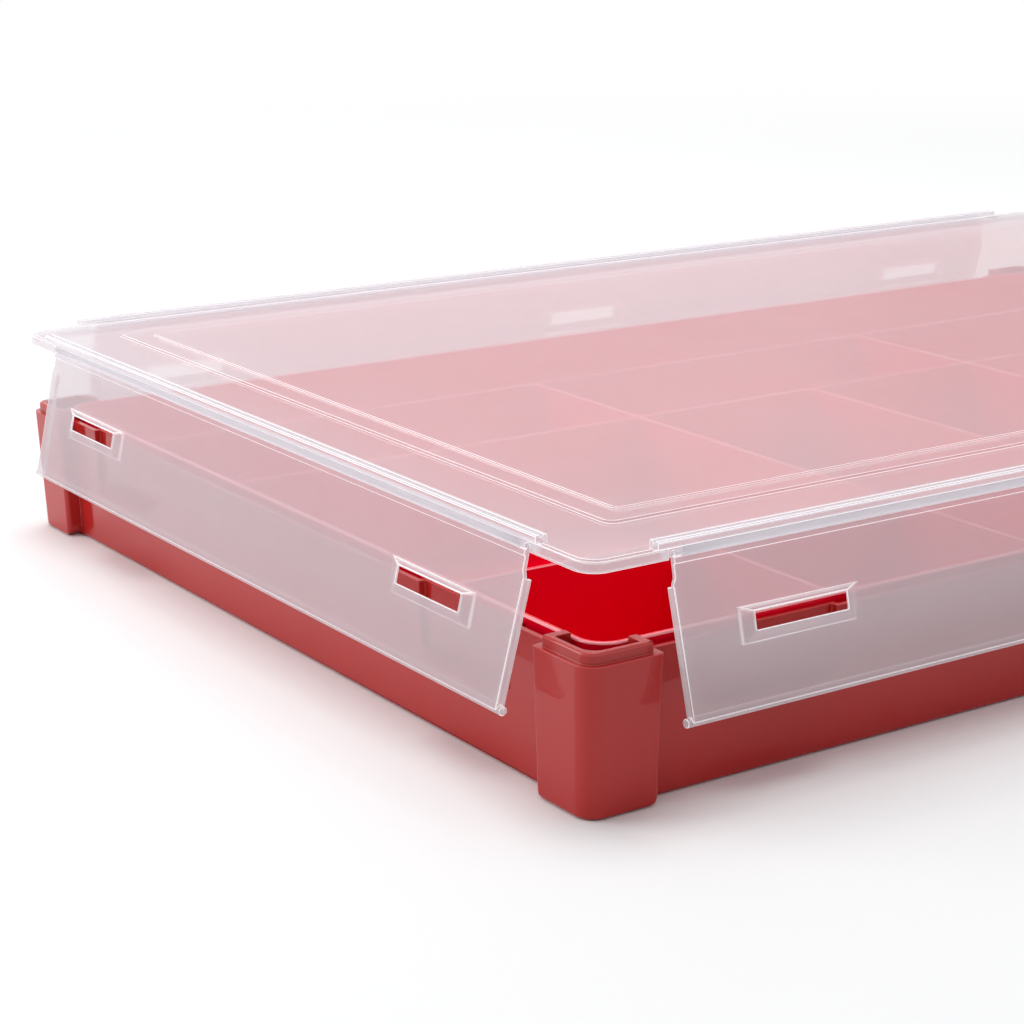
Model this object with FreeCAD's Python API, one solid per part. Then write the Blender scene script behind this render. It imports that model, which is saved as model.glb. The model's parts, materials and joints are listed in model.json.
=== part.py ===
"""Flat compartment case: an outer tray with corner posts, a compartment insert and a
clear lid with four hinged latch flaps.  The lid is shown lifted off the tray, with its
flaps hanging slightly flared.  Millimetres, +Z up, origin under the middle of the tray."""

import FreeCAD
import Part
import math
import os

V = FreeCAD.Vector

# Overall plan and heights
case_length = 500.0            # over the corner posts, along X
case_width = 343.0             # over the corner posts, along Y
ledge_height = 42.5            # top of the walls and of the post ledges
floor_thickness = 2.0
draft_run = 1.8                # how far the outer faces draw in from ledge to floor
overrun = 1.0                  # how far every cutting tool runs past its work
touch_gap = 0.3                # air left where the closed lid meets the tray

# Outer tray
wall_setback = 5.2             # wall face behind the post faces
wall_thickness = 1.8
wall_corner_radius = 8.0
bottom_edge_radius = 1.2
post_width = 25.0              # length of a post along each side, at the ledge
post_corner_radius = 6.0
post_end_radius = 1.6          # upright edges at the post ends
post_foot_radius = 4.0         # round at the foot of each post end
post_skin = 3.6                # from the post face to its open channel
post_web = 3.2                 # web that closes each end of the channel
ring_setback = 1.6             # raised ring behind the post face
ring_end_setback = 2.5
ring_height = 3.2
ring_end_radius = 0.8
ring_edge_bevel = 0.5

# Catch pockets and lugs on the tray walls
catch_from_corner = 65.4       # middle of the outer catches, from the case corner
pocket_width = 44.4
pocket_setback_top = 7.4       # pocket face behind the post faces
pocket_setback_foot = 7.6
lug_base_width = 38.0
lug_crest_width = 29.0
lug_height = 1.5               # thickness of the lug, upright
lug_reach = 5.6                # how far the lug stands out from the wall
lug_lead_in = 2.4              # sloped top near the crest

# Compartment insert
insert_gap = 0.4               # all round, to the ribs and pockets of the tray
insert_setback = 9.2           # insert rim behind the post faces
insert_top = 44.4
insert_rim_thickness = 1.6
insert_rim_bevel = 0.4
insert_draft_run = 2.2         # how far the insert walls draw in towards the floor
insert_corner_radius = 9.0
insert_floor_thickness = 1.6
divider_thickness = 1.7
divider_corner_radius = 2.4
cell_draft_run = 1.0
cell_floor_bevel = 2.0
columns = 6
rows = 5

# Lid
lid_lift = 24.6                # lid skirt above the ledge, as the case stands open
skirt_height = 3.7
skirt_thickness = 1.2
skirt_recess = 1.8             # skirt set in along the flaps
plate_thickness = 1.4
lid_corner_radius = 6.4
lid_edge_bevel = 0.6
panel_setback = 24.3           # raised panel inside the lid edge
panel_rise = 0.8
panel_corner_radius = 4.0
inner_panel_setback = 33.0
inner_panel_rise = 0.5
ridge_from_corner = 20.5
ridge_width = 3.8
ridge_overhang = 1.7           # how far the ridge stands out past the skirt face
ridge_height = 2.4
ridge_groove_depth = 1.0
ridge_groove_width = 1.5
ridge_chamfer = 0.4
recess_from_corner = 25.4

# Flaps
hinge_drop = 1.9               # hinge line below the lid edge
hinge_bead_radius = 0.8
hinge_air = 0.3                # between the hinge bead and the lid above it
flap_thickness = 1.2
flap_length = 45.2             # hinge line to tip
flap_end_gap = 0.5             # shoulder of a flap to the post end
flap_end_taper = 1.2
waist_gap = 0.9                # narrower neck near the hinge
waist_length = 5.8
shoulder_length = 8.8
flange_depth = 2.8
flange_thickness = 1.1
top_bar_drop = 1.1
top_bar_height = 1.8
top_bar_proud = 0.5
tip_bead_radius = 1.25
tip_bead_inset = 1.5           # bead middle inside the hinge line
tip_bead_past_end = 1.6
slot_width = 31.5
slot_height = 4.9
slot_drop = 19.1               # hinge line to the upper edge of a slot
frame_rise = 1.2               # raised surround of a slot
frame_wall = 0.7
frame_lip = 0.4
frame_end_slope = 4.0
frame_top_slope = 1.3
frame_foot_slope = 3.6
flare_angle = 13.0             # how far a free flap stands out from upright

# Heights that follow
ring_top = ledge_height + ring_height
skirt_bottom = ledge_height + lid_lift
lid_edge_top = skirt_bottom + skirt_height
plate_underside = lid_edge_top - plate_thickness
hinge_height = lid_edge_top - hinge_drop
close_travel = plate_underside - ring_top - touch_gap
closed_hinge_height = hinge_height - close_travel
lug_underside = closed_hinge_height - slot_drop - slot_height + frame_lip
lug_top = lug_underside + lug_height
half_length = case_length / 2
half_width = case_width / 2


def arc(start, middle, end):
    return Part.Arc(start, middle, end).toShape()


def flat_face(points):
    return Part.Face(Part.makePolygon(points + points[:1]))


def block(foot, low, top, high, radii):
    """Drafted block from rectangle foot at height low to rectangle top at height high.
    A rectangle is (low x, low y, high x, high y); radii run low-low, high-low, high-high, low-high."""
    under, over = [[V(r[0], r[1], z), V(r[2], r[1], z), V(r[2], r[3], z), V(r[0], r[3], z)]
                   for r, z in ((foot, low), (top, high))]
    faces = [flat_face(under[::-1]), flat_face(over)]
    for here, after in zip(range(4), (1, 2, 3, 0)):
        faces.append(flat_face([under[here], under[after], over[after], over[here]]))
    solid = Part.Solid(Part.Shell(faces))
    for spot, radius in zip(under, radii):
        upright = [e for e in solid.Edges if e.BoundBox.ZLength > (high - low) / 2
                   and min(v.Point.distanceToPoint(spot) for v in e.Vertexes) < radius / 4]
        solid = solid.makeFillet(radius, upright)
    return solid


def centred_block(foot_x, foot_y, low, top_x, top_y, high, radius):
    """The same about the Z axis, from half sizes."""
    return block((-foot_x, -foot_y, foot_x, foot_y), low, (-top_x, -top_y, top_x, top_y), high, [radius] * 4)


def edges_at(solid, z, near):
    """Edges that lie level at height z, to within near."""
    return [e for e in solid.Edges if e.BoundBox.ZMin > z - near and e.BoundBox.ZMax < z + near]


def loft(wires):
    return Part.makeLoft(wires, True, True)


def box(low, high):
    size = high - low
    return Part.makeBox(size.x, size.y, size.z, low)


def prism(points, direction):
    return flat_face([V(*p) for p in points]).extrude(direction)


def fused(shapes):
    first = shapes[0]
    return first.fuse(shapes[1:]).removeSplitter() if len(shapes) > 1 else first


def one_solid(shape):
    solids = shape.Solids
    assert len(solids) == 1, len(solids)
    return solids[0]


def setback_at(z):
    """How far the drafted outer faces have drawn in at height z."""
    return draft_run * (ledge_height - z) / ledge_height


def on_all_corners(shape):
    """The shape at the low-low corner, mirrored to the other three."""
    pair = [shape, shape.mirror(V(0, 0, 0), V(1, 0, 0))]
    return pair + [s.mirror(V(0, 0, 0), V(0, 1, 0)) for s in pair]


def catch_places(side):
    """Middles of the catches along one side: at both ends, and in the middle if long."""
    end = side / 2 - catch_from_corner
    places = [-end, end]
    if 2 * end > 2 * catch_from_corner + 2 * pocket_width:
        places.insert(1, 0)
    return places


def on_sides(make):
    """What make(side, depth) builds on the front, turned to all four sides."""
    shapes = []
    for turn, side, depth in side_list():
        for shape in make(side, depth):
            shape = shape.copy()
            shape.rotate(V(0, 0, 0), V(0, 0, 1), turn)
            shapes.append(shape)
    return shapes


def side_list():
    """Turn from the front, length of the side, distance of its face from the middle."""
    return [(0, case_length, half_width), (90, case_width, half_length),
            (180, case_length, half_width), (270, case_width, half_length)]


def tray_block():
    top = wall_setback
    foot = wall_setback + draft_run
    solid = centred_block(half_length - foot, half_width - foot, 0,
                          half_length - top, half_width - top, ledge_height, wall_corner_radius)
    return solid.makeFillet(bottom_edge_radius, edges_at(solid, 0, bottom_edge_radius / 2))


def post_block():
    """One drafted corner post at the low-low corner, with rounded foot ends."""
    radii = [post_corner_radius, post_end_radius, post_end_radius, post_end_radius]
    x, y = -half_length, -half_width
    far_x, far_y = x + post_width, y + post_width
    solid = block((x + draft_run, y + draft_run, far_x, far_y), 0, (x, y, far_x, far_y), ledge_height, radii)
    solid = solid.makeFillet(bottom_edge_radius, edges_at(solid, 0, bottom_edge_radius / 2))
    return solid.cut([post_foot_cutter(far_x, y, False), post_foot_cutter(far_y, x, True)])


def post_foot_cutter(end, face, swap):
    """What rounds the foot of a post end; it stays outside the tray wall."""
    radius = post_foot_radius
    reach = radius * (1 - math.sqrt(0.5))
    low = face - overrun
    high = face + wall_setback + draft_run
    past = end + overrun
    spots = [(end - radius, 0), (end - reach, reach), (end, radius)]
    if swap:
        a, b, c = [V(low, u, z) for u, z in spots]
        d, e = V(low, past, radius), V(low, past, -overrun)
        f = V(low, end - radius, -overrun)
        run = V(high - low, 0, 0)
    else:
        a, b, c = [V(u, low, z) for u, z in spots]
        d, e = V(past, low, radius), V(past, low, -overrun)
        f = V(end - radius, low, -overrun)
        run = V(0, high - low, 0)
    wire = Part.Wire([arc(a, b, c), Part.makeLine(c, d), Part.makeLine(d, e), Part.makeLine(e, f),
                      Part.makeLine(f, a)])
    return Part.Face(wire).extrude(run)


def post_ring():
    """Raised ring on a post that the corner of the closed lid drops over."""
    plan = (-half_length + ring_setback, -half_width + ring_setback,
            -half_length + post_width - ring_end_setback, -half_width + post_width - ring_end_setback)
    radius = post_corner_radius - ring_setback
    solid = block(plan, ledge_height - overrun, plan, ring_top, [radius] + [ring_end_radius] * 3)
    edges = [e for e in edges_at(solid, ring_top, ring_edge_bevel / 2)
             if e.BoundBox.XMin < plan[0] + radius or e.BoundBox.YMin < plan[1] + radius]
    return solid.makeChamfer(ring_edge_bevel, edges)


def post_channel():
    """Open hollow between the skin of a post and the insert."""
    x, y = -half_length + post_skin, -half_width + post_skin
    end_x, end_y = [-half + post_width - ring_end_setback - post_web for half in (half_length, half_width)]
    return block((x + draft_run / 2, y + draft_run / 2, end_x, end_y), floor_thickness,
                 (x, y, end_x, end_y), ring_top + overrun,
                 [post_corner_radius - ring_setback] + [ring_end_radius] * 3)


def insert_room():
    """Space that the insert takes up in the tray, with its gap."""
    top = insert_setback - insert_gap
    foot = top + insert_draft_run
    return centred_block(half_length - foot, half_width - foot, floor_thickness,
                         half_length - top, half_width - top, ring_top + overrun,
                         insert_corner_radius + insert_gap)


def pocket_backs(side, depth):
    """Thicker wall behind each catch pocket."""
    shapes = []
    wide = pocket_width / 2 + wall_thickness
    for middle in catch_places(side):
        shapes.append(box(V(middle - wide, -depth + wall_setback + wall_thickness / 2, floor_thickness / 2),
                          V(middle + wide, -depth + insert_setback + insert_draft_run, ledge_height)))
    return shapes


def pocket_cuts(side, depth):
    """Recess in the wall face above each lug, open at the top."""
    shapes = []
    wide = pocket_width / 2
    low, high = -depth - overrun, ledge_height + overrun
    foot = -depth + pocket_setback_foot
    top = -depth + pocket_setback_top
    for middle in catch_places(side):
        outline = [(middle - wide, low, lug_top), (middle - wide, foot, lug_top),
                   (middle - wide, top, high), (middle - wide, low, high)]
        shapes.append(prism(outline, V(pocket_width, 0, 0)))
    return shapes


def lugs(side, depth):
    """Catch lug under each pocket: flat below, sloped on top near its crest."""
    wall = -depth + wall_setback + setback_at(lug_underside)
    root = wall + wall_thickness / 2
    crest = wall - lug_reach
    shapes = []
    for middle in catch_places(side):
        profile = [(0, root, lug_underside), (0, crest, lug_underside),
                   (0, crest, lug_underside + lug_height / 2),
                   (0, crest + lug_lead_in, lug_top), (0, root, lug_top)]
        bar = prism([(middle - lug_base_width / 2, y, z) for _, y, z in profile], V(lug_base_width, 0, 0))
        trim = prism([(middle - lug_base_width / 2, wall, lug_underside),
                      (middle - lug_crest_width / 2, crest, lug_underside),
                      (middle + lug_crest_width / 2, crest, lug_underside),
                      (middle + lug_base_width / 2, wall, lug_underside),
                      (middle + lug_base_width / 2, root, lug_underside),
                      (middle - lug_base_width / 2, root, lug_underside)], V(0, 0, lug_height))
        shapes.append(bar.common(trim))
    return shapes


def wall_hollow():
    """Room between the thin tray wall and the insert."""
    top = wall_setback + wall_thickness
    foot = top + draft_run
    return centred_block(half_length - foot, half_width - foot, floor_thickness,
                         half_length - top, half_width - top, ring_top + overrun,
                         wall_corner_radius - wall_thickness)


def post_webs():
    """Ribs across each end of a post channel, out to the insert; the hollow keeps off them."""
    x, y = -half_length, -half_width
    end = post_width - ring_end_setback
    reach = insert_setback + insert_draft_run
    across_x = box(V(x, y, 0), V(x + reach, y + end, ring_top + overrun))
    across_y = box(V(x, y, 0), V(x + end, y + reach, ring_top + overrun))
    return fused([across_x, across_y])


def outer_tray():
    solid = tray_block()
    solid = fused([solid] + on_all_corners(post_block()) + on_all_corners(post_ring()))
    hollow = wall_hollow()
    keep = on_all_corners(post_webs()) + on_sides(pocket_backs)
    hollow = hollow.cut(keep)
    solid = solid.cut([hollow, insert_room()] + on_all_corners(post_channel()))
    solid = solid.cut(on_sides(pocket_cuts))
    return one_solid(fused([solid] + on_sides(lugs)))


def cell_table():
    """Compartments as (first column, first row, last column, last row) of the base grid."""
    third, half = columns // 3, columns // 2
    cells = [(0, rows - 1, columns, rows)]
    for first in range(0, columns, third):
        cells.append((first, rows - 2, first + third, rows - 1))
    cells += [(third, 0, half, rows - 2), (half, 0, columns - third, rows - 2)]
    for start in (0, columns - third):
        cells.append((start, 1, start + third, rows - 2))
        for first in range(start, start + third):
            cells.append((first, 0, first + 1, 1))
    return cells


def cell_pocket(first_column, first_row, last_column, last_row):
    """One compartment, drafted and with a bevelled floor edge."""
    inner_x = half_length - insert_setback - insert_rim_thickness
    inner_y = half_width - insert_setback - insert_rim_thickness
    pitch_x = 2 * inner_x / columns
    pitch_y = 2 * inner_y / rows
    half_wall = divider_thickness / 2
    low_x = -inner_x + first_column * pitch_x + (half_wall if first_column > 0 else 0)
    high_x = -inner_x + last_column * pitch_x - (half_wall if last_column < columns else 0)
    low_y = -inner_y + first_row * pitch_y + (half_wall if first_row > 0 else 0)
    high_y = -inner_y + last_row * pitch_y - (half_wall if last_row < rows else 0)
    corner = insert_corner_radius - insert_rim_thickness
    small = divider_corner_radius
    at_corner = [(first_column == 0, first_row == 0), (last_column == columns, first_row == 0),
                 (last_column == columns, last_row == rows), (first_column == 0, last_row == rows)]
    radii = [corner if a and b else small for a, b in at_corner]
    floor = floor_thickness + insert_floor_thickness
    draw = [insert_draft_run if at_rim else cell_draft_run for at_rim in
            (first_column == 0, first_row == 0, last_column == columns, last_row == rows)]
    rise = (insert_top + overrun - floor) / (insert_top - floor)
    rim = (low_x, low_y, high_x, high_y)
    foot = (low_x + draw[0], low_y + draw[1], high_x - draw[2], high_y - draw[3])
    above = [f + (r - f) * rise for f, r in zip(foot, rim)]
    pocket = block(foot, floor, above, insert_top + overrun, radii)
    return pocket.makeChamfer(cell_floor_bevel, edges_at(pocket, floor, cell_floor_bevel / 2))


def compartment_insert():
    foot = insert_setback + insert_draft_run
    solid = centred_block(half_length - foot, half_width - foot, floor_thickness,
                          half_length - insert_setback, half_width - insert_setback, insert_top,
                          insert_corner_radius)
    solid = solid.makeChamfer(insert_rim_bevel, edges_at(solid, insert_top, overrun / 2))
    return one_solid(solid.cut([cell_pocket(*cell) for cell in cell_table()]))


def lid_ridges(side, depth):
    """Two-lobed ridge along one lid edge, above its flap."""
    start = -side / 2 + ridge_from_corner
    out = -depth - ridge_overhang
    back = out + ridge_width
    low, high = lid_edge_top, lid_edge_top + ridge_height
    middle = (out + back) / 2
    groove = ridge_groove_width / 2
    points = [(start, out, low), (start, out, high - ridge_chamfer), (start, out + ridge_chamfer, high),
              (start, middle - groove, high), (start, middle, high - ridge_groove_depth),
              (start, middle + groove, high), (start, back - ridge_chamfer, high),
              (start, back, high - ridge_chamfer), (start, back, low - plate_thickness / 4),
              (start, -depth + plate_thickness / 2, low - plate_thickness / 4)]
    return [prism(points, V(side - 2 * ridge_from_corner, 0, 0))]


def skirt_recesses(side, depth):
    """Where the skirt is set in to make room for a hinge."""
    start = -side / 2 + recess_from_corner
    return [box(V(start, -depth - overrun, skirt_bottom - overrun),
                V(-start, -depth + skirt_recess, hinge_height + hinge_bead_radius + hinge_air))]


def skirt_backs(side, depth):
    """Skirt behind the recess, at full thickness."""
    start = -side / 2 + recess_from_corner - skirt_thickness / 2
    return [box(V(start, -depth + skirt_recess / 2, skirt_bottom),
                V(-start, -depth + skirt_recess + skirt_thickness, lid_edge_top - plate_thickness / 2))]


def lid():
    body = centred_block(half_length, half_width, skirt_bottom, half_length, half_width, lid_edge_top,
                         lid_corner_radius)
    body = body.makeChamfer(lid_edge_bevel, edges_at(body, lid_edge_top, overrun / 2))
    inside_x, inside_y = half_length - skirt_thickness, half_width - skirt_thickness
    body = body.cut(centred_block(inside_x, inside_y, skirt_bottom - overrun, inside_x, inside_y,
                                  plate_underside, lid_corner_radius - skirt_thickness))
    rises = [(panel_setback, 0, panel_rise), (inner_panel_setback, panel_rise, inner_panel_rise)]
    body = fused([body] + on_sides(skirt_backs) + [panel_step(*rise) for rise in rises])
    body = body.cut([panel_hollow(*rise) for rise in rises] + on_sides(skirt_recesses))
    return one_solid(fused([body] + on_sides(lid_ridges)))


def panel_step(setback, start, rise):
    """One step of the raised panel, with sloped sides; it roots in the plate below."""
    half_x, half_y = half_length - setback, half_width - setback
    low, high = lid_edge_top + start - plate_thickness / 2, lid_edge_top + start + rise
    lean = rise / 2 * (high - low) / rise
    return centred_block(half_x + lean - rise / 2, half_y + lean - rise / 2, low,
                         half_x - rise / 2, half_y - rise / 2, high, panel_corner_radius)


def panel_hollow(setback, start, rise):
    inside = setback + plate_thickness
    half_x, half_y = half_length - inside, half_width - inside
    low = plate_underside + start
    return centred_block(half_x, half_y, low - overrun, half_x, half_y, low + rise,
                         panel_corner_radius - plate_thickness / 2)


def flap_end(side, drop):
    """Half length of the flap body at a drop below its shoulder."""
    share = (drop - shoulder_length) / (flap_length - shoulder_length)
    return side / 2 - post_width - flap_end_gap - flap_end_taper * share


def flap_outline(side, y, foot):
    """Face of the flap in an upright plane, down from its hinge line."""
    neck = flap_end(side, shoulder_length) - waist_gap
    shoulder = flap_end(side, shoulder_length)
    tip = flap_end(side, foot)
    middle = ((neck + shoulder) / 2, -(waist_length + shoulder_length) / 2)
    quarter = (shoulder_length - waist_length) / 4
    bulge = waist_gap / 2 / 4
    right = [V(neck, y, 0), V(neck, y, -waist_length)]
    left = [V(-p.x, p.y, p.z) for p in right]
    turn_one = [V(neck + bulge, y, -waist_length - quarter), V(middle[0], y, middle[1])]
    turn_two = [V(shoulder - bulge, y, -shoulder_length + quarter), V(shoulder, y, -shoulder_length)]
    edges = [Part.makeLine(left[0], right[0]), Part.makeLine(right[0], right[1]),
             arc(right[1], turn_one[0], turn_one[1]), arc(turn_one[1], turn_two[0], turn_two[1]),
             Part.makeLine(turn_two[1], V(tip, y, -foot)), Part.makeLine(V(tip, y, -foot), V(-tip, y, -foot))]
    flip = [V(-p.x, p.y, p.z) for p in turn_two + turn_one]
    edges += [Part.makeLine(V(-tip, y, -foot), flip[1]), arc(flip[1], flip[0], flip[3]),
              arc(flip[3], flip[2], left[1]), Part.makeLine(left[1], left[0])]
    return Part.Face(Part.Wire(edges))


def slot_frame(middle):
    """Raised surround of one slot, and the hollow behind it."""
    low, high = -slot_drop - slot_height, -slot_drop
    face = 0
    front = -frame_rise
    half = slot_width / 2

    def rect(y, ends, foot, top):
        points = [V(middle - half - ends, y, low - foot), V(middle + half + ends, y, low - foot),
                  V(middle + half + ends, y, high + top), V(middle - half - ends, y, high + top)]
        return Part.makePolygon(points + points[:1])

    lip = frame_lip
    base = face + flap_thickness / 2
    outer = loft([rect(base, frame_end_slope + lip, frame_foot_slope + lip, frame_top_slope + lip),
                  rect(face, frame_end_slope + lip, frame_foot_slope + lip, frame_top_slope + lip),
                  rect(front, lip, lip, lip)])
    back = face + flap_thickness
    wide = frame_end_slope + lip - frame_wall
    deep = frame_foot_slope + lip - frame_wall
    up = frame_top_slope + lip - frame_wall
    inner = loft([rect(back + overrun, wide, deep, up), rect(back - frame_rise / 2, wide, deep, up),
                  rect(front + frame_wall, lip / 2, lip / 2, lip / 2)])
    slot = box(V(middle - half, front - overrun, low), V(middle + half, back + overrun, high))
    return outer, inner, slot


def tip_bead(side):
    """Round bead along the tip, with its ends past the flap ends."""
    z = -flap_length + tip_bead_radius
    half = flap_end(side, flap_length) + tip_bead_past_end
    return Part.makeCylinder(tip_bead_radius, 2 * half, V(-half, tip_bead_inset, z), V(1, 0, 0))


def upright_flap(side):
    """Flap hanging straight down from its hinge line, which is the X axis; -Y is outside."""
    face, back = 0, flap_thickness
    foot = flap_length - tip_bead_radius
    sheet = flap_outline(side, face, foot).extrude(V(0, flap_thickness, 0))
    neck = flap_end(side, shoulder_length) - waist_gap
    hinge = Part.makeCylinder(hinge_bead_radius, 2 * neck, V(-neck, 0, 0), V(1, 0, 0))
    bar = box(V(-neck, face - top_bar_proud, -top_bar_drop - top_bar_height), V(neck, back, -top_bar_drop))
    frames = [slot_frame(middle) for middle in catch_places(side)]
    body = fused([sheet, hinge, bar] + end_flanges(side, face, foot) + [outer for outer, _, _ in frames])
    body = body.cut([tool for _, inner, slot in frames for tool in (inner, slot)])
    return one_solid(body.fuse(tip_bead(side)).removeSplitter())


def end_flanges(side, face, foot):
    """Inward flanges down both ends, from the shoulder to the tip bead."""
    top = -shoulder_length
    high, low = flap_end(side, shoulder_length), flap_end(side, foot)
    shapes = []
    for way in (1, -1):
        points = [(way * high, face, top), (way * low, face, -foot),
                  (way * (low - flange_thickness), face, -foot), (way * (high - flange_thickness), face, top)]
        shapes.append(prism(points, V(0, flange_depth, 0)))
    return shapes


def flap(turn, side, depth):
    shape = upright_flap(side)
    shape.rotate(V(0, 0, 0), V(1, 0, 0), -flare_angle)
    shape.translate(V(0, -depth, hinge_height))
    shape.rotate(V(0, 0, 0), V(0, 0, 1), turn)
    return shape


def main():
    os.makedirs("parts", exist_ok=True)
    nodes = {"outer_tray": outer_tray(), "compartment_insert": compartment_insert(), "lid": lid()}
    names = ["flap_front", "flap_right", "flap_back", "flap_left"]
    for name, (turn, side, depth) in zip(names, side_list()):
        nodes[name] = flap(turn, side, depth)
    for name, shape in nodes.items():
        shape.exportStep("parts/" + name + ".step")
        print(name, shape.isValid(), round(shape.Volume), len(shape.Faces))
    print("lid closes by", close_travel, "hinge height", hinge_height)


main()
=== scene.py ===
import json
import math

import bmesh
import bpy
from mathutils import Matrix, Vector
from mathutils.bvhtree import BVHTree


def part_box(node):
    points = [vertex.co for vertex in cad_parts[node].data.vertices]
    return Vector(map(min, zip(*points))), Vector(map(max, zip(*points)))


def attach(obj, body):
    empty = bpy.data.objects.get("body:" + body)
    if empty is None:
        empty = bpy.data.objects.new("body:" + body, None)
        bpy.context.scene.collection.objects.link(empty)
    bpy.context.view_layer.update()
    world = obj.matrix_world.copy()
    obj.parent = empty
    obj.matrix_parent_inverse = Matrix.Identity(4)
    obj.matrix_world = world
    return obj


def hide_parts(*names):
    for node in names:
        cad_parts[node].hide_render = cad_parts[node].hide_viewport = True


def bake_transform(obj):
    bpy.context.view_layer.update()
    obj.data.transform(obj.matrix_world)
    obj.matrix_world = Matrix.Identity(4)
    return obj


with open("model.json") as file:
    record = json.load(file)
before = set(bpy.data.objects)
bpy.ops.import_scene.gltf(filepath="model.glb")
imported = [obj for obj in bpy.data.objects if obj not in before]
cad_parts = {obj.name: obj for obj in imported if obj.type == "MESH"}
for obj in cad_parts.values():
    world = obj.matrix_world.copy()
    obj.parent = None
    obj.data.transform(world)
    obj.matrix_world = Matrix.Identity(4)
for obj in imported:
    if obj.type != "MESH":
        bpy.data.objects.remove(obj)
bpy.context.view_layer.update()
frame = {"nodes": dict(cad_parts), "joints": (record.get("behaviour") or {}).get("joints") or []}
scene = bpy.context.scene
MM = 0.001


# Materials

PLASTIC_IOR = 1.46
COAT_ROUGHNESS = 0.06
RAMP_ENDS = (0.3, 0.7)                 # noise values at the low and the high end of a ramp
SWELL_DEPTH = 0.0006                   # wide, soft unevenness of a moulded face
PITTING_DEPTH = 0.00005                # fine texture of the coloured plastic


def shader(name, color, roughness, level, coat=0.0, alpha=1.0):
    """A material with its node tree and its main shader node."""
    material = bpy.data.materials.new(name)
    material.use_nodes = True
    principled = material.node_tree.nodes["Principled BSDF"]
    values = {"Base Color": (*color, 1), "Roughness": roughness, "Specular IOR Level": level,
              "IOR": PLASTIC_IOR, "Coat Weight": coat, "Coat Roughness": COAT_ROUGHNESS,
              "Alpha": alpha}
    for socket, value in values.items():
        principled.inputs[socket].default_value = value
    return material, material.node_tree, principled


def noise(tree, scale, detail, rough=0.5):
    """Noise in the piece's own coordinates."""
    where = tree.nodes.new("ShaderNodeTexCoord")
    texture = tree.nodes.new("ShaderNodeTexNoise")
    texture.inputs["Scale"].default_value = scale
    texture.inputs["Detail"].default_value = detail
    texture.inputs["Roughness"].default_value = rough
    tree.links.new(where.outputs["Object"], texture.inputs["Vector"])
    return texture


def ramp(tree, texture, low, high):
    """Noise turned into a value or a colour between low and high."""
    band = tree.nodes.new("ShaderNodeValToRGB")
    for element, place, value in zip(band.color_ramp.elements, RAMP_ENDS, (low, high)):
        color = value if isinstance(value, tuple) else (value, value, value)
        element.position = place
        element.color = (*color, 1)
    tree.links.new(texture.outputs["Fac"], band.inputs["Fac"])
    return band.outputs["Color"]


def bump(tree, principled, layers):
    """Bumps chained one over the other: (noise, strength, depth) for each."""
    normal = None
    for texture, strength, depth in layers:
        node = tree.nodes.new("ShaderNodeBump")
        node.inputs["Strength"].default_value = strength
        node.inputs["Distance"].default_value = depth
        tree.links.new(texture.outputs["Fac"], node.inputs["Height"])
        if normal:
            tree.links.new(normal, node.inputs["Normal"])
        normal = node.outputs["Normal"]
    tree.links.new(normal, principled.inputs["Normal"])


def moulded(name, dark, light, roughness, level, coat=0.0):
    """Glossy coloured plastic with faint flow marks and fine handling haze."""
    material, tree, principled = shader(name, light, roughness, level, coat=coat)
    flow = noise(tree, scale=9, detail=4, rough=0.55)
    tree.links.new(ramp(tree, flow, dark, light), principled.inputs["Base Color"])
    haze = noise(tree, scale=70, detail=5, rough=0.6)
    tree.links.new(ramp(tree, haze, roughness * 0.8, roughness * 1.25),
                   principled.inputs["Roughness"])
    bump(tree, principled, [(noise(tree, scale=22, detail=2), 0.10, SWELL_DEPTH),
                            (noise(tree, scale=900, detail=2), 0.05, PITTING_DEPTH)])
    return material


def frosted(name, color, alpha, spread, roughness, glow=0.45, shade=0.7, painted_glow=0.0):
    """Milky clear plastic: alpha is the part of the light that it stops, varied by spread.
    glow is the part of the look that comes from light scattered onward to the other side,
    shade how much lighter than the sheet its shadow is. The last argument sets a painted glow:
    the material gives off its own colour as light, lit or not."""
    material, tree, principled = shader(name, color, roughness, level=0.45, alpha=alpha)
    # Painted glow: emission in the material's own colour.
    principled.inputs["Emission Color"].default_value = (*color, 1)
    principled.inputs["Emission Strength"].default_value = painted_glow
    cloud = noise(tree, scale=14, detail=4, rough=0.55)
    haze = ramp(tree, cloud, alpha - spread, alpha + spread)
    tree.links.new(haze, principled.inputs["Alpha"])
    grain = noise(tree, scale=50, detail=2)
    tree.links.new(ramp(tree, grain, roughness * 0.97, roughness * 1.04),
                   principled.inputs["Roughness"])
    bump(tree, principled, [(noise(tree, scale=16, detail=2), 0.10, SWELL_DEPTH)])
    onward = tree.nodes.new("ShaderNodeBsdfTranslucent")
    onward.inputs["Color"].default_value = (*color, 1)
    clear = tree.nodes.new("ShaderNodeBsdfTransparent")
    through, sheet, final = [tree.nodes.new("ShaderNodeMixShader") for _ in range(3)]
    tree.links.new(haze, through.inputs["Fac"])
    tree.links.new(clear.outputs[0], through.inputs[1])
    tree.links.new(onward.outputs[0], through.inputs[2])
    sheet.inputs["Fac"].default_value = glow
    tree.links.new(principled.outputs[0], sheet.inputs[1])
    tree.links.new(through.outputs[0], sheet.inputs[2])
    path = tree.nodes.new("ShaderNodeLightPath")
    lighter = tree.nodes.new("ShaderNodeMath")
    lighter.operation = "MULTIPLY"
    lighter.inputs[1].default_value = shade
    tree.links.new(path.outputs["Is Shadow Ray"], lighter.inputs[0])
    tree.links.new(lighter.outputs[0], final.inputs["Fac"])
    tree.links.new(sheet.outputs[0], final.inputs[1])
    tree.links.new(clear.outputs[0], final.inputs[2])
    tree.links.new(final.outputs[0], tree.nodes["Material Output"].inputs["Surface"])
    return material


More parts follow.
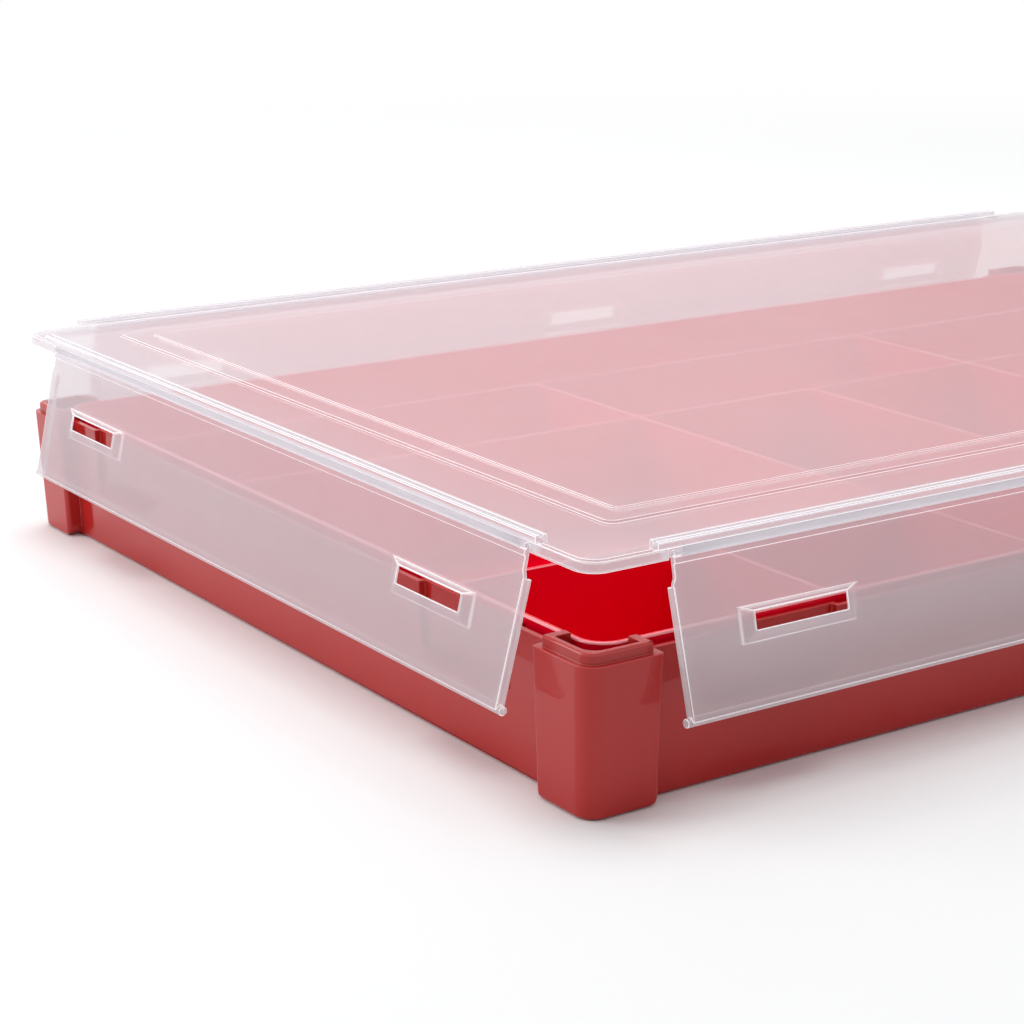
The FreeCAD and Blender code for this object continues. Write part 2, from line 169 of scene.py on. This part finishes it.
tray_red = moulded("tray_red", (0.40, 0.016, 0.014), (0.44, 0.019, 0.016),
                   roughness=0.09, level=0.45)
insert_red = moulded("insert_red", (0.85, 0.0, 0.018), (0.90, 0.0, 0.022),
                     roughness=0.14, level=0.34)
# Painted highlight: a lighter, glossier red that the tray's rounded edges take.
tray_painted_highlight = moulded("tray_painted_highlight", (0.47, 0.038, 0.034), (0.51, 0.044, 0.039),
                    roughness=0.10, level=0.50)
# Tops of the insert's rim and dividers and its rounded top edges: glossier, with a lighter pink
# that is a painted highlight.
insert_rim_gloss_and_painted_highlight = moulded("insert_rim_gloss_and_painted_highlight", (0.95, 0.29, 0.32), (0.97, 0.31, 0.34),
                     roughness=0.07, level=0.80, coat=0.9)
clear_sheet = frosted("clear_sheet", (0.74, 0.730, 0.765), alpha=0.50, spread=0.015,
                      roughness=0.26, glow=0.40, shade=0.82)
clear_side = frosted("clear_side", (0.93, 0.91, 0.925), alpha=0.60, spread=0.02,
                     roughness=0.18)
# Edges and roundings of the lid and flaps: denser, whiter plastic, with a painted glow that draws
# them as painted highlight lines.
clear_edge_painted_glow = frosted("clear_edge_painted_glow", (0.98, 0.97, 0.98), alpha=0.94, spread=0.02,
                     roughness=0.14, painted_glow=0.3)


# Pieces

MERGE_DISTANCE = 2e-6
FLAT_ANGLE = math.radians(0.4)         # triangles that meet flatter than this join
SHARP_ANGLE = math.radians(28)         # edges that are sharper than this are rounded
EVERYWHERE = -1.0                      # a height under all pieces
FULL_FACE_WEIGHT = 100                 # normals follow the large faces, not the roundings


def as_object(name, mesh):
    thing = bpy.data.objects.new(name, mesh)
    scene.collection.objects.link(thing)
    return thing


def bake(thing):
    """Makes the object's modifiers part of its mesh."""
    bpy.context.view_layer.update()
    graph = bpy.context.evaluated_depsgraph_get()
    mesh = bpy.data.meshes.new_from_object(thing.evaluated_get(graph),
                                           preserve_all_data_layers=True, depsgraph=graph)
    thing.modifiers.clear()
    old = thing.data
    thing.data = mesh
    bpy.data.meshes.remove(old)


def hold_near(mesh, node, most):
    """Puts points that the rounding threw further off the part than most back on its surface,
    and keeps every point inside the part's box."""
    part = frame["nodes"][node].data
    surface = BVHTree.FromPolygons([v.co for v in part.vertices],
                                   [tuple(p.vertices) for p in part.polygons])
    low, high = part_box(node)
    for vert in mesh.vertices:
        near, _, _, away = surface.find_nearest(vert.co)
        spot = near if away > most else vert.co
        vert.co = [min(max(at, least), last) for at, least, last in zip(spot, low, high)]


def marked_copy(node, kind, above):
    """A copy of a node's mesh with its triangles joined, each face's material set by kind, and
    its sharp edges above a height marked for rounding."""
    mesh = frame["nodes"][node].data.copy()
    work = bmesh.new()
    work.from_mesh(mesh)
    bmesh.ops.remove_doubles(work, verts=work.verts, dist=MERGE_DISTANCE)
    bmesh.ops.join_triangles(work, faces=work.faces, angle_face_threshold=FLAT_ANGLE,
                             angle_shape_threshold=math.radians(180))
    for face in work.faces:
        face.smooth = True
        face.material_index = kind(face.calc_center_median(), face.normal) if kind else 0
    rounded = work.edges.layers.float.new("bevel_weight_edge")
    for edge in work.edges:
        edge.smooth = True
        high_up = min(vert.co.z for vert in edge.verts) > above
        if high_up and edge.calc_face_angle(0) > SHARP_ANGLE:
            edge[rounded] = 1.0
    work.to_mesh(mesh)
    work.free()
    stored = mesh.attributes.get("custom_normal")
    if stored:
        mesh.attributes.remove(stored)
    return mesh


def softened(node, body, width, materials, kind=None, above=EVERYWHERE):
    """A node's shape with its sharp edges above a height rounded as a mould leaves them.
    kind gives a face's material from its middle and normal; the rounded edges take the last."""
    mesh = marked_copy(node, kind, above)
    mesh.materials.clear()
    for material in materials:
        mesh.materials.append(material)
    thing = as_object(node + "_surface", mesh)
    rounding = thing.modifiers.new("rounding", "BEVEL")
    rounding.width = width
    rounding.segments = 2
    rounding.limit_method = "WEIGHT"
    rounding.miter_outer = "MITER_ARC"
    rounding.use_clamp_overlap = False
    rounding.material = len(materials) - 1
    bake(thing)
    hold_near(thing.data, node, width / 2)
    shading = thing.modifiers.new("shading", "WEIGHTED_NORMAL")
    shading.weight = FULL_FACE_WEIGHT
    bake(thing)
    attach(thing, body)
    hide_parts(node)


# The tray and its insert

TRAY_ROUNDING = 0.25 * MM
BODY, RIM = 0, 1                       # materials of the insert; RIM is glossy and painted lighter as a highlight
RIM_HEIGHT = 44 * MM                   # faces above this belong to the rim and the dividers
RIM_LEVEL = 0.9
INSERT_SOFT_FROM = 40 * MM             # the insert's edges are rounded above this height


def insert_kind(spot, normal):
    """The level tops of the rim and the dividers: glossier, and painted lighter pink as a
    highlight.
    """
    return RIM if normal.z > RIM_LEVEL and spot.z > RIM_HEIGHT else BODY


softened("outer_tray", "tray", TRAY_ROUNDING, [tray_red, tray_painted_highlight])
softened("compartment_insert", "tray", TRAY_ROUNDING,
         [insert_red, insert_rim_gloss_and_painted_highlight], insert_kind, above=INSERT_SOFT_FROM)


# The lid

CLEAR = [clear_sheet, clear_side, clear_edge_painted_glow]
SHEET, SIDE, EDGE = 0, 1, 2            # their places in that list; EDGE has the painted glow
LID_ROUNDING = 0.17 * MM
LID_LEVEL = 0.985
CHAMFER_LEVELS = (0.5, 0.8)            # upright share of a chamfer's normal
PANEL_HALF_X, PANEL_HALF_Y = 0.230, 0.1515


def lid_kind(spot, normal):
    """Sheet where level, edge (with its painted glow) on chamfers and panel steps, side on the
    rest.
    """
    level = abs(normal.z)
    inside = abs(spot.x) < PANEL_HALF_X and abs(spot.y) < PANEL_HALF_Y
    if level > LID_LEVEL:
        return SHEET
    return EDGE if inside or CHAMFER_LEVELS[0] < level < CHAMFER_LEVELS[1] else SIDE


softened("lid", "lid", LID_ROUNDING, CLEAR, lid_kind)


# The flaps and the thin strips between them and the lid

FLARE = math.radians(13.0)             # how far the flaps stand out at rest
FLAP_ROUNDING = 0.24 * MM
FLAP_FLAT = 0.8
TIP_START = 42.6 * MM                  # the tip bead begins this far below the hinge
TURNS = {"flap_front": 0, "flap_right": 90, "flap_back": 180, "flap_left": 270}

FILM_END_GAP = 3.6 * MM                # the strip stops short of each end of its flap
FILM_THICKNESS = 0.35 * MM
FILM_SWELL = 0.45 * MM                 # how far the strip bows outwards
FILM_STEPS, FILM_CUTS = 10, 24         # divisions down the strip and along it
RIDGE_OUT, RIDGE_UP = 1.25 * MM, 1.95 * MM     # its top, from the hinge line
BAR_OUT, BAR_DOWN, BAR_LIFT = 0.6, 1.2, 0.3    # its foot on the flap's bar, in millimetres


def film(name, turn, half, hinge_y, hinge_z, tilt):
    """The thin strip between a lid ridge and the bar of its flap."""
    bar_out = BAR_OUT * math.cos(tilt) + BAR_DOWN * math.sin(tilt)
    bar_z = hinge_z - (BAR_DOWN * math.cos(tilt) - BAR_LIFT * math.sin(tilt)) * MM
    top = Vector((0, hinge_y - RIDGE_OUT, hinge_z + RIDGE_UP))
    foot = Vector((0, hinge_y - bar_out * MM, bar_z))
    swell = Vector((0, -FILM_SWELL, 0))
    points = []
    for i in range(FILM_STEPS + 1):
        t = i / FILM_STEPS
        points.append(top.lerp(foot, t) + swell * math.sin(math.pi * t))
    loop = points + [p + Vector((0, FILM_THICKNESS, 0)) for p in reversed(points)]
    work = bmesh.new()
    rings = []
    for j in range(FILM_CUTS + 1):
        x = -half + 2 * half * j / FILM_CUTS
        rings.append([work.verts.new((x, p.y, p.z)) for p in loop])
    count = len(loop)
    for a, b in zip(rings, rings[1:]):
        for i in range(count):
            work.faces.new((a[i], a[(i + 1) % count], b[(i + 1) % count], b[i]))
    work.faces.new(list(reversed(rings[0])))
    work.faces.new(rings[-1])
    bmesh.ops.recalc_face_normals(work, faces=work.faces)
    around = math.radians(turn)
    cos, sin = math.cos(around), math.sin(around)
    for vert in work.verts:
        x, y = vert.co.x, vert.co.y
        vert.co.x, vert.co.y = x * cos - y * sin, x * sin + y * cos
    for face in work.faces:
        face.smooth = True
    mesh = bpy.data.meshes.new(name + "_film")
    work.to_mesh(mesh)
    work.free()
    mesh.materials.append(clear_sheet)
    strip = as_object(name + "_film", mesh)

    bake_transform(strip)


def flap_kind(place, outward):
    """The kind function of the flap with its hinge at place: sheet where nearly flat, edge (with
    its painted glow) on the rest and on the tip bead."""
    flat = outward * math.cos(FLARE) + Vector((0, 0, math.sin(FLARE)))
    down = outward * math.sin(FLARE) - Vector((0, 0, math.cos(FLARE)))

    def kind(spot, normal):
        tip = (spot - place).dot(down) > TIP_START
        return EDGE if tip or abs(normal.dot(flat)) < FLAP_FLAT else SHEET

    return kind


hinges = {joint["child"]: joint for joint in frame["joints"] if joint["type"] == "hinge"}
for name, turn in TURNS.items():
    around = math.radians(turn)
    outward = Vector((math.sin(around), -math.cos(around), 0))
    place = Vector(hinges[name]["pos_m"])
    softened(name, name, FLAP_ROUNDING, CLEAR, flap_kind(place, outward))
    _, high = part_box(name)
    half = (high.x if turn in (0, 180) else high.y) - FILM_END_GAP
    depth = Vector((place.x, place.y, 0)).length
    film(name, turn, half, -depth, place.z, FLARE)


# Floor, backdrop, light and camera

BACKDROP_LIGHT = 0.54                  # how strongly the backdrop lights the part
FLOOR_HALF_SIZE = 6.0
FLOOR_DROP = 0.0002                    # keeps the floor off the tray's underside
FLOOR_FADE = (0.55, 1.6)               # distances between which the floor turns plain
CAMERA_PLACE = (-0.59169, -0.64050, 0.24777)
CAMERA_DOWN, CAMERA_TURN = 15.78, -34.22       # degrees below level, about the upright


def ray_switch(tree, seen, lit):
    """seen for what a camera, mirror or glass ray meets, lit for all other light."""
    path = tree.nodes.new("ShaderNodeLightPath")
    first = tree.nodes.new("ShaderNodeMath")
    second = tree.nodes.new("ShaderNodeMath")
    for node in (first, second):
        node.operation = "MAXIMUM"
    tree.links.new(path.outputs["Is Camera Ray"], first.inputs[0])
    tree.links.new(path.outputs["Is Glossy Ray"], first.inputs[1])
    tree.links.new(first.outputs[0], second.inputs[0])
    tree.links.new(path.outputs["Is Transmission Ray"], second.inputs[1])
    mix = tree.nodes.new("ShaderNodeMixShader")
    tree.links.new(second.outputs[0], mix.inputs["Fac"])
    tree.links.new(lit.outputs[0], mix.inputs[1])
    tree.links.new(seen.outputs[0], mix.inputs[2])
    return mix


world = bpy.data.worlds.new("studio")
scene.world = world
world.use_nodes = True
tree = world.node_tree
lit = tree.nodes["Background"]
lit.inputs["Color"].default_value = (0.97, 0.985, 1.0, 1)
lit.inputs["Strength"].default_value = BACKDROP_LIGHT
seen = tree.nodes.new("ShaderNodeBackground")
seen.inputs["Color"].default_value = (1, 1, 1, 1)
seen.inputs["Strength"].default_value = 1.0
tree.links.new(ray_switch(tree, seen, lit).outputs[0], tree.nodes["World Output"].inputs["Surface"])

floor_mesh = bpy.data.meshes.new("studio_floor")
size = FLOOR_HALF_SIZE
floor_mesh.from_pydata([(-size, -size, 0), (size, -size, 0), (size, size, 0), (-size, size, 0)],
                       [], [(0, 1, 2, 3)])
floor = as_object("studio_floor", floor_mesh)
floor.location.z = -FLOOR_DROP
floor_paint, floor_tree, floor_shader = shader("studio_floor", (0.93, 0.93, 0.93),
                                               roughness=0.9, level=0.1)
speck = noise(floor_tree, scale=3, detail=3)
floor_tree.links.new(ramp(floor_tree, speck, (0.92, 0.92, 0.92), (0.94, 0.94, 0.94)),
                     floor_shader.inputs["Base Color"])
from_middle = floor_tree.nodes.new("ShaderNodeVectorMath")
from_middle.operation = "LENGTH"
floor_tree.links.new(speck.inputs["Vector"].links[0].from_socket, from_middle.inputs[0])
fade = floor_tree.nodes.new("ShaderNodeMapRange")
fade.interpolation_type = "SMOOTHSTEP"
fade.inputs["From Min"].default_value = FLOOR_FADE[0]
fade.inputs["From Max"].default_value = FLOOR_FADE[1]
floor_tree.links.new(from_middle.outputs["Value"], fade.inputs["Value"])
plain = floor_tree.nodes.new("ShaderNodeEmission")
far = floor_tree.nodes.new("ShaderNodeMixShader")
floor_tree.links.new(fade.outputs["Result"], far.inputs["Fac"])
floor_tree.links.new(floor_shader.outputs[0], far.inputs[1])
floor_tree.links.new(plain.outputs[0], far.inputs[2])
floor_tree.links.new(ray_switch(floor_tree, far, floor_shader).outputs[0],
                     floor_tree.nodes["Material Output"].inputs["Surface"])
floor_mesh.materials.append(floor_paint)


def softbox(name, place, aim, width, height, power):
    """A rectangular lamp at place that faces aim."""
    data = bpy.data.lights.new(name, "AREA")
    data.shape = "RECTANGLE"
    data.size, data.size_y = width, height
    data.energy = power
    lamp = bpy.data.objects.new(name, data)
    scene.collection.objects.link(lamp)
    lamp.location = place
    lamp.rotation_euler = (Vector(aim) - Vector(place)).to_track_quat("-Z", "Y").to_euler()


softbox("top_box", (0.1, 0.4, 1.9), (0, 0, 0), width=1.2, height=1.2, power=19)
softbox("left_box", (-1.2, 0.7, 0.6), (-0.2, 0.1, 0.03), width=0.9, height=0.7, power=7)
softbox("back_box", (0.6, 1.9, 1.1), (0, 0, 0.03), width=2.0, height=1.0, power=5)

camera_data = bpy.data.cameras.new("camera")
camera = bpy.data.objects.new("camera", camera_data)
scene.collection.objects.link(camera)
scene.camera = camera
camera_data.sensor_width = 36.0
camera_data.lens = 86.28
camera_data.clip_start = 0.01
camera.location = CAMERA_PLACE
camera.rotation_euler = (math.radians(90 - CAMERA_DOWN), 0, math.radians(CAMERA_TURN))

scene.view_settings.view_transform = "Standard"
